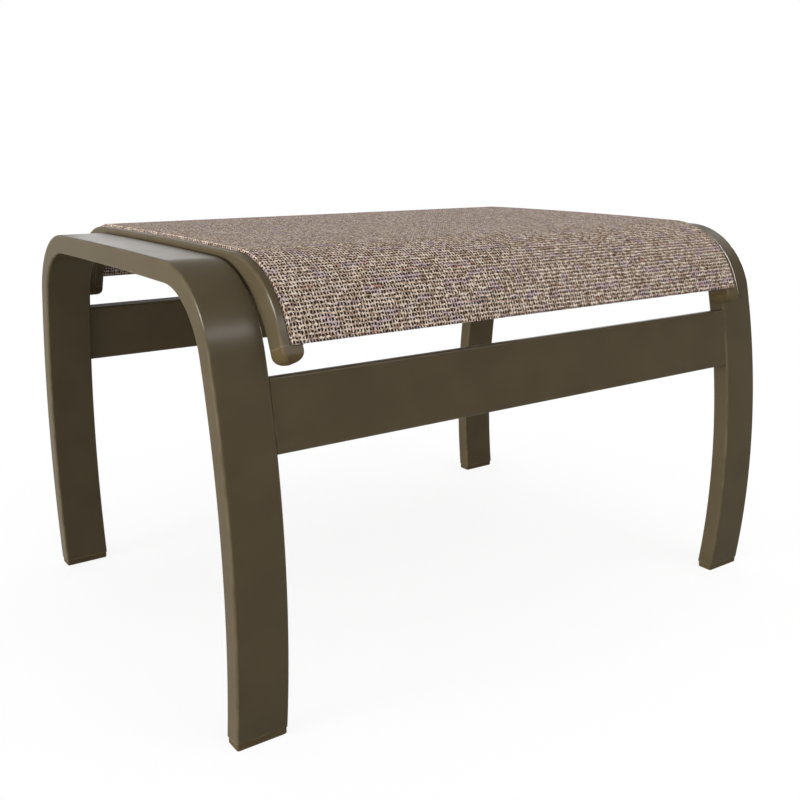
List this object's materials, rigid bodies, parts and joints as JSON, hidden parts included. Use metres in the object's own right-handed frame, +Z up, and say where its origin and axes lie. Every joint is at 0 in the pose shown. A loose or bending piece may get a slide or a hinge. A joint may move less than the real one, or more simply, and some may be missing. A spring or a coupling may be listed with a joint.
{
  "type": "ottoman",
  "caption": "Outdoor ottoman footstool with a woven sling seat stretched over curved rails between bent flat-tube side frames joined by wide stretchers.",
  "frame": {"origin": "on the floor, under the middle of the sling", "axes": "+Z up, +X along the stretchers from the left side frame to the right one, +Y from the front edge of the sling to the rear one"},
  "size_m": [0.694, 0.5112, 0.4253],
  "materials": {
    "powder_coated_aluminium": "dark bronze-brown satin powder coat with a fine texture",
    "sling_mesh": "vinyl-coated polyester mesh, cream and brown yarns with streaks of darker colour",
    "cap_plastic": "moulded plastic, brown to match the powder coat",
    "foot_plastic": "moulded plastic, brown, fine matt grain",
    "spline_plastic": "extruded plastic rod, natural white",
    "nylon": "moulded nylon, dark",
    "stainless_steel": "plain stainless steel"
  },
  "bodies": {
    "root": {"left_frame": "powder_coated_aluminium", "right_frame": "powder_coated_aluminium", "front_stretcher": "powder_coated_aluminium", "rear_stretcher": "powder_coated_aluminium", "left_sling_rail": "powder_coated_aluminium", "right_sling_rail": "powder_coated_aluminium", "sling": "sling_mesh", "left_spline": "spline_plastic", "right_spline": "spline_plastic", "rail_cap_front_left": "cap_plastic", "rail_cap_rear_left": "cap_plastic", "rail_cap_front_right": "cap_plastic", "rail_cap_rear_right": "cap_plastic", "foot_glide_front_left": "foot_plastic", "foot_glide_rear_left": "foot_plastic", "foot_glide_front_right": "foot_plastic", "foot_glide_rear_right": "foot_plastic", "rail_spacer_front_left": "nylon", "rail_spacer_rear_left": "nylon", "rail_spacer_front_right": "nylon", "rail_spacer_rear_right": "nylon", "rail_bolt_front_left": "stainless_steel", "rail_bolt_rear_left": "stainless_steel", "rail_bolt_front_right": "stainless_steel", "rail_bolt_rear_right": "stainless_steel", "threaded_insert_front_left": "stainless_steel", "threaded_insert_rear_left": "stainless_steel", "threaded_insert_front_right": "stainless_steel", "threaded_insert_rear_right": "stainless_steel"}
  },
  "joints": []
}
